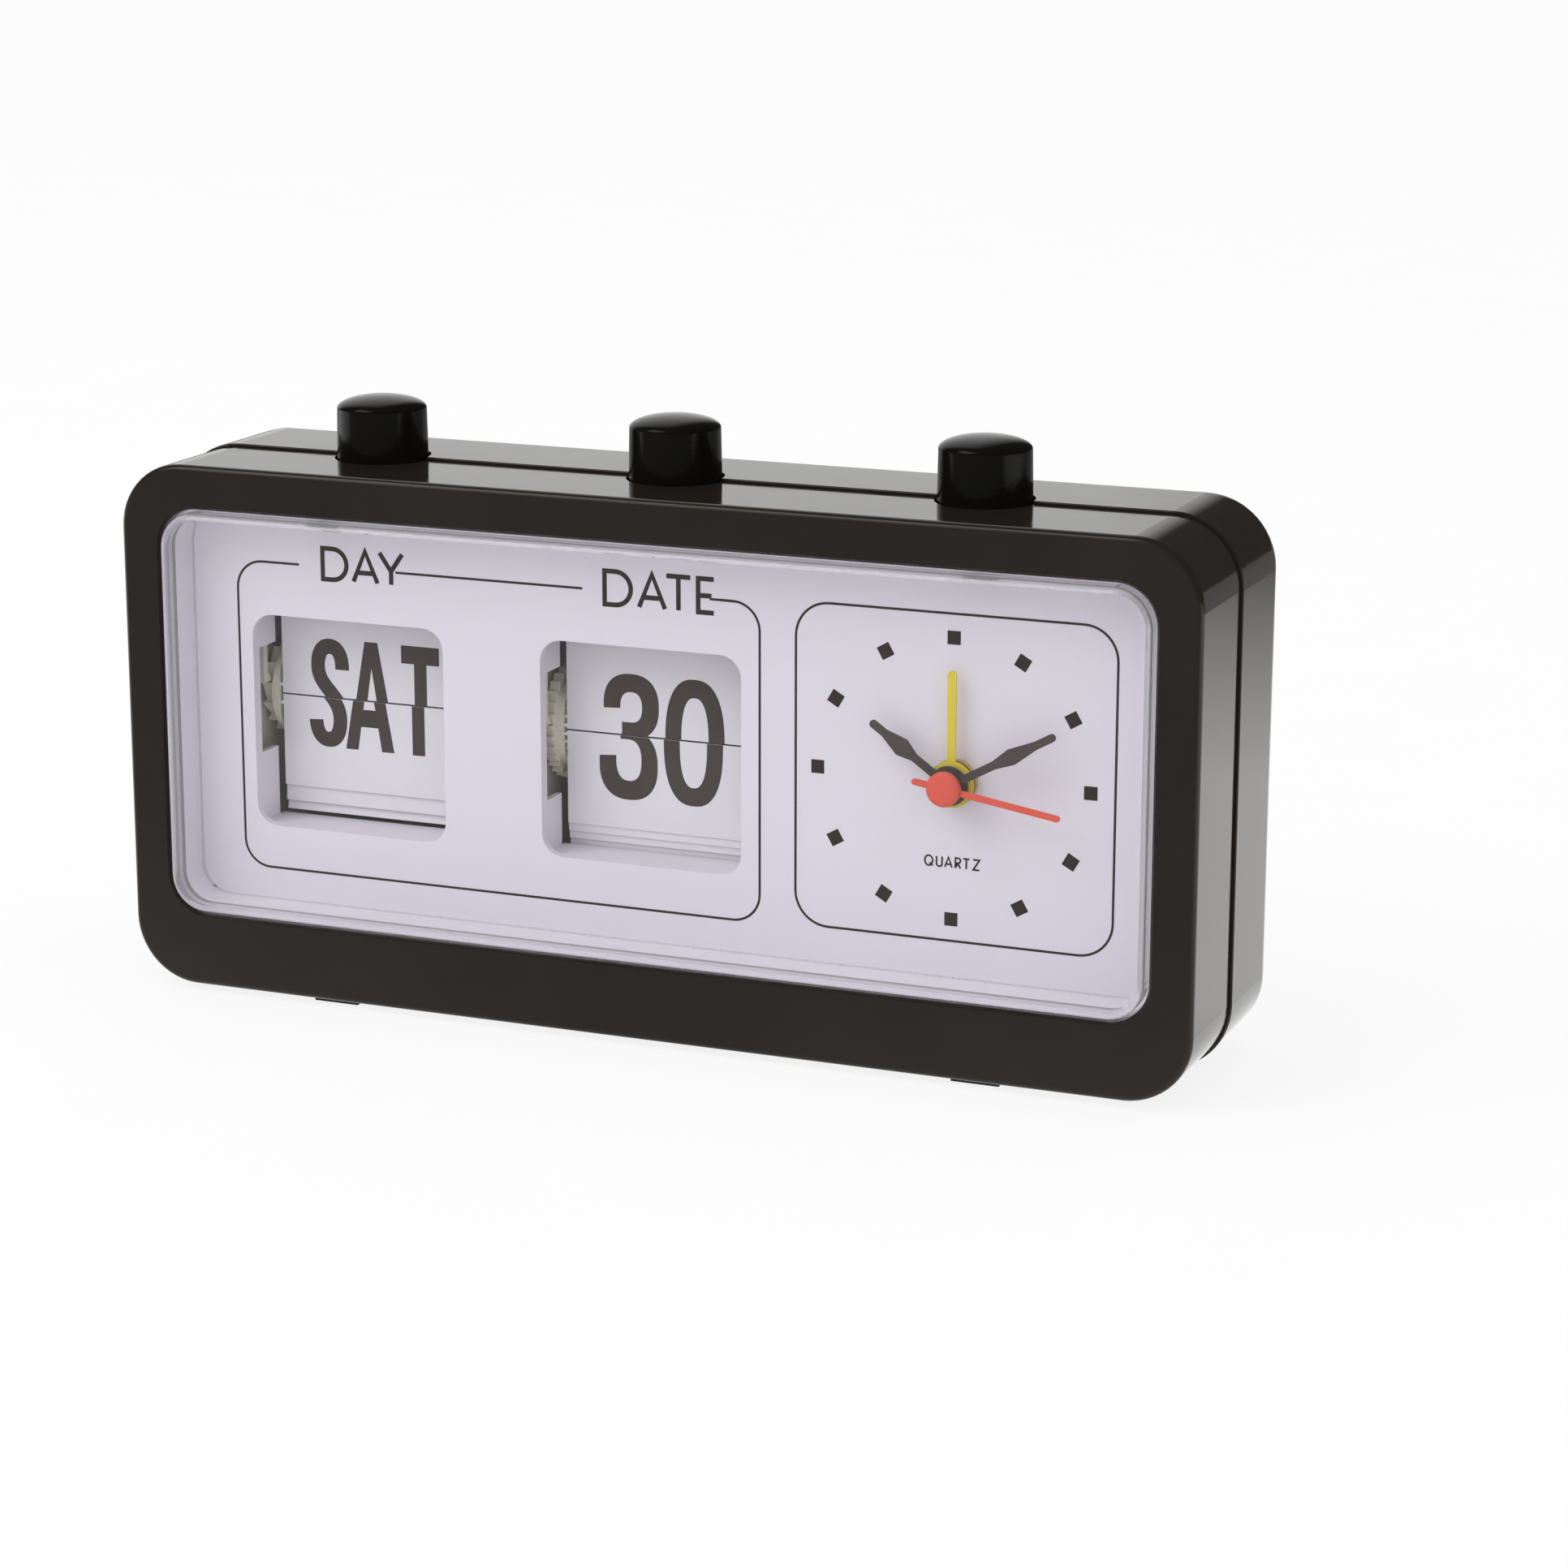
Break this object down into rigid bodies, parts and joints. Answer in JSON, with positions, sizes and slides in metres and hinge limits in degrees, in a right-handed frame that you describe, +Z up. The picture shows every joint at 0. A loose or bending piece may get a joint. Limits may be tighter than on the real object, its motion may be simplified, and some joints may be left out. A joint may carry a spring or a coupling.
{
  "type": "flip calendar clock",
  "caption": "Desk clock with flip cards for weekday and date beside an analogue alarm dial, behind a clear lens in a rounded black case with push buttons on top.",
  "frame": {"origin": "on the surface it stands on, under the middle of its bounding box", "axes": "+X to the right seen from the front, +Y to the rear, +Z up"},
  "size_m": [0.201, 0.05, 0.108],
  "materials": {
    "case": "satin black on the bezel, glossy on the sides",
    "button": "glossy black",
    "lens": "clear polished plastic",
    "panel": "white, printed",
    "card": "white printed card",
    "cream": "moulded, cream",
    "wheel": "moulded, off-white",
    "dark_plastic": "moulded, dark",
    "pale_plastic": "moulded, pale grey",
    "steel": "plain",
    "brass": "plain",
    "copper_wire": "lacquered winding",
    "board": "solder mask",
    "dark_hand": "satin dark",
    "red_hand": "satin red",
    "yellow_hand": "satin yellow",
    "foot": "matt black",
    "cell": "printed sleeve, plain"
  },
  "bodies": {
    "case": {"front_case": "case", "rear_case": "case", "lens": "lens", "dial_panel": "panel", "case_screws": "steel", "feet": "foot", "guide_rail": "cream", "day_spring": "steel", "date_spring": "steel", "alarm_spring": "steel", "day_axle": "steel", "date_axle": "steel", "day_bracket": "cream", "date_bracket": "cream", "movement_plate": "pale_plastic", "movement_cover": "dark_plastic", "movement_nut": "brass", "circuit_board": "board", "quartz_crystal": "steel", "motor_coil": "copper_wire", "motor_stator": "steel", "battery_holder": "dark_plastic", "battery": "cell", "contact_plus": "steel", "contact_minus": "steel", "alarm_switch": "dark_plastic", "buzzer": "dark_plastic"},
    "battery_cover": {"battery_door": "case"},
    "day_push": {"day_button": "button", "day_pawl": "cream"},
    "day_reel": {"day_drum": "cream", "day_ratchet": "cream", "day_cards_pack": "card"},
    "day_card": {"day_falling_card": "card"},
    "date_push": {"date_button": "button", "date_pawl": "cream"},
    "date_reel": {"date_drum": "cream", "date_ratchet": "cream", "date_cards_pack": "card"},
    "date_card": {"date_falling_card": "card"},
    "alarm_push": {"alarm_button": "button"},
    "second_arbor": {"second_wheel": "brass", "second_hand": "red_hand"},
    "third_arbor": {"third_wheel": "wheel"},
    "minute_arbor": {"centre_wheel": "wheel", "minute_hand": "dark_hand"},
    "hour_pipe": {"hour_wheel": "wheel", "hour_hand": "dark_hand"},
    "alarm_pipe": {"alarm_wheel": "wheel", "alarm_hand": "yellow_hand"},
    "time_shaft": {"time_set_knob": "button", "motion_wheel": "wheel"},
    "alarm_shaft": {"alarm_set_knob": "button"}
  },
  "joints": [
    {"name": "day_press", "type": "slide", "parent": "case", "child": "day_push", "axis": [0, 0, -1], "range_m": [0, 0.00386], "stiffness_N_per_m": 250, "springref_m": -0.004, "deforming": ["day_spring"]},
    {"name": "day_reel_turn", "type": "hinge", "parent": "case", "child": "day_reel", "pos_m": [-0.06, 0.00231, 0.0527], "axis": [1, 0, 0], "range_deg": [0, 25.72]},
    {"name": "day_card_fall", "type": "hinge", "parent": "day_reel", "child": "day_card", "pos_m": [-0.06, -0.005, 0.05437], "axis": [1, 0, 0], "range_deg": [0, 154.29]},
    {"name": "date_press", "type": "slide", "parent": "case", "child": "date_push", "axis": [0, 0, -1], "range_m": [0, 0.00211], "stiffness_N_per_m": 250, "springref_m": -0.004, "deforming": ["date_spring"]},
    {"name": "date_reel_turn", "type": "hinge", "parent": "case", "child": "date_reel", "pos_m": [-0.0031, 0.00246, 0.0511], "axis": [1, 0, 0], "range_deg": [0, 11.62]},
    {"name": "date_card_fall", "type": "hinge", "parent": "date_reel", "child": "date_card", "pos_m": [-0.0031, -0.005, 0.05186], "axis": [1, 0, 0], "range_deg": [0, 168.39]},
    {"name": "alarm_press", "type": "slide", "parent": "case", "child": "alarm_push", "axis": [0, 0, -1], "range_m": [0, 0.002], "stiffness_N_per_m": 250, "springref_m": -0.004, "deforming": ["alarm_spring"]},
    {"name": "minute_turn", "type": "hinge", "parent": "case", "child": "minute_arbor", "pos_m": [0.055, -0.014, 0.051], "axis": [0, 1, 0], "continuous": true},
    {"name": "hour_turn", "type": "hinge", "parent": "case", "child": "hour_pipe", "pos_m": [0.055, -0.014, 0.051], "axis": [0, 1, 0], "continuous": true},
    {"name": "second_turn", "type": "hinge", "parent": "case", "child": "second_arbor", "pos_m": [0.055, -0.014, 0.051], "axis": [0, 1, 0], "continuous": true},
    {"name": "third_turn", "type": "hinge", "parent": "case", "child": "third_arbor", "pos_m": [0.055, -0.0045, 0.0612], "axis": [0, 1, 0], "continuous": true},
    {"name": "time_set_turn", "type": "hinge", "parent": "case", "child": "time_shaft", "pos_m": [0.06483, 0.0225, 0.04412], "axis": [0, 1, 0], "continuous": true},
    {"name": "alarm_turn", "type": "hinge", "parent": "case", "child": "alarm_pipe", "pos_m": [0.055, -0.014, 0.051], "axis": [0, 1, 0], "continuous": true},
    {"name": "alarm_set_turn", "type": "hinge", "parent": "case", "child": "alarm_shaft", "pos_m": [0.04517, 0.0225, 0.04412], "axis": [0, 1, 0], "continuous": true},
    {"name": "battery_cover_lift", "type": "slide", "parent": "case", "child": "battery_cover", "axis": [0, 1, 0], "range_m": [0, 0.03]}
  ],
  "couplings": [
    {"joint": "day_reel_turn", "follows": "day_press", "rad_per_m": 116.28},
    {"joint": "day_card_fall", "follows": "day_press", "rad_per_m": 697.67},
    {"joint": "date_reel_turn", "follows": "date_press", "rad_per_m": 96.154},
    {"joint": "date_card_fall", "follows": "date_press", "rad_per_m": 1394.2},
    {"joint": "hour_turn", "follows": "minute_turn", "ratio": 0.083333},
    {"joint": "second_turn", "follows": "minute_turn", "ratio": 60},
    {"joint": "third_turn", "follows": "minute_turn", "ratio": -8},
    {"joint": "time_set_turn", "follows": "minute_turn", "ratio": -0.33333},
    {"joint": "alarm_set_turn", "follows": "alarm_turn", "ratio": -4}
  ]
}
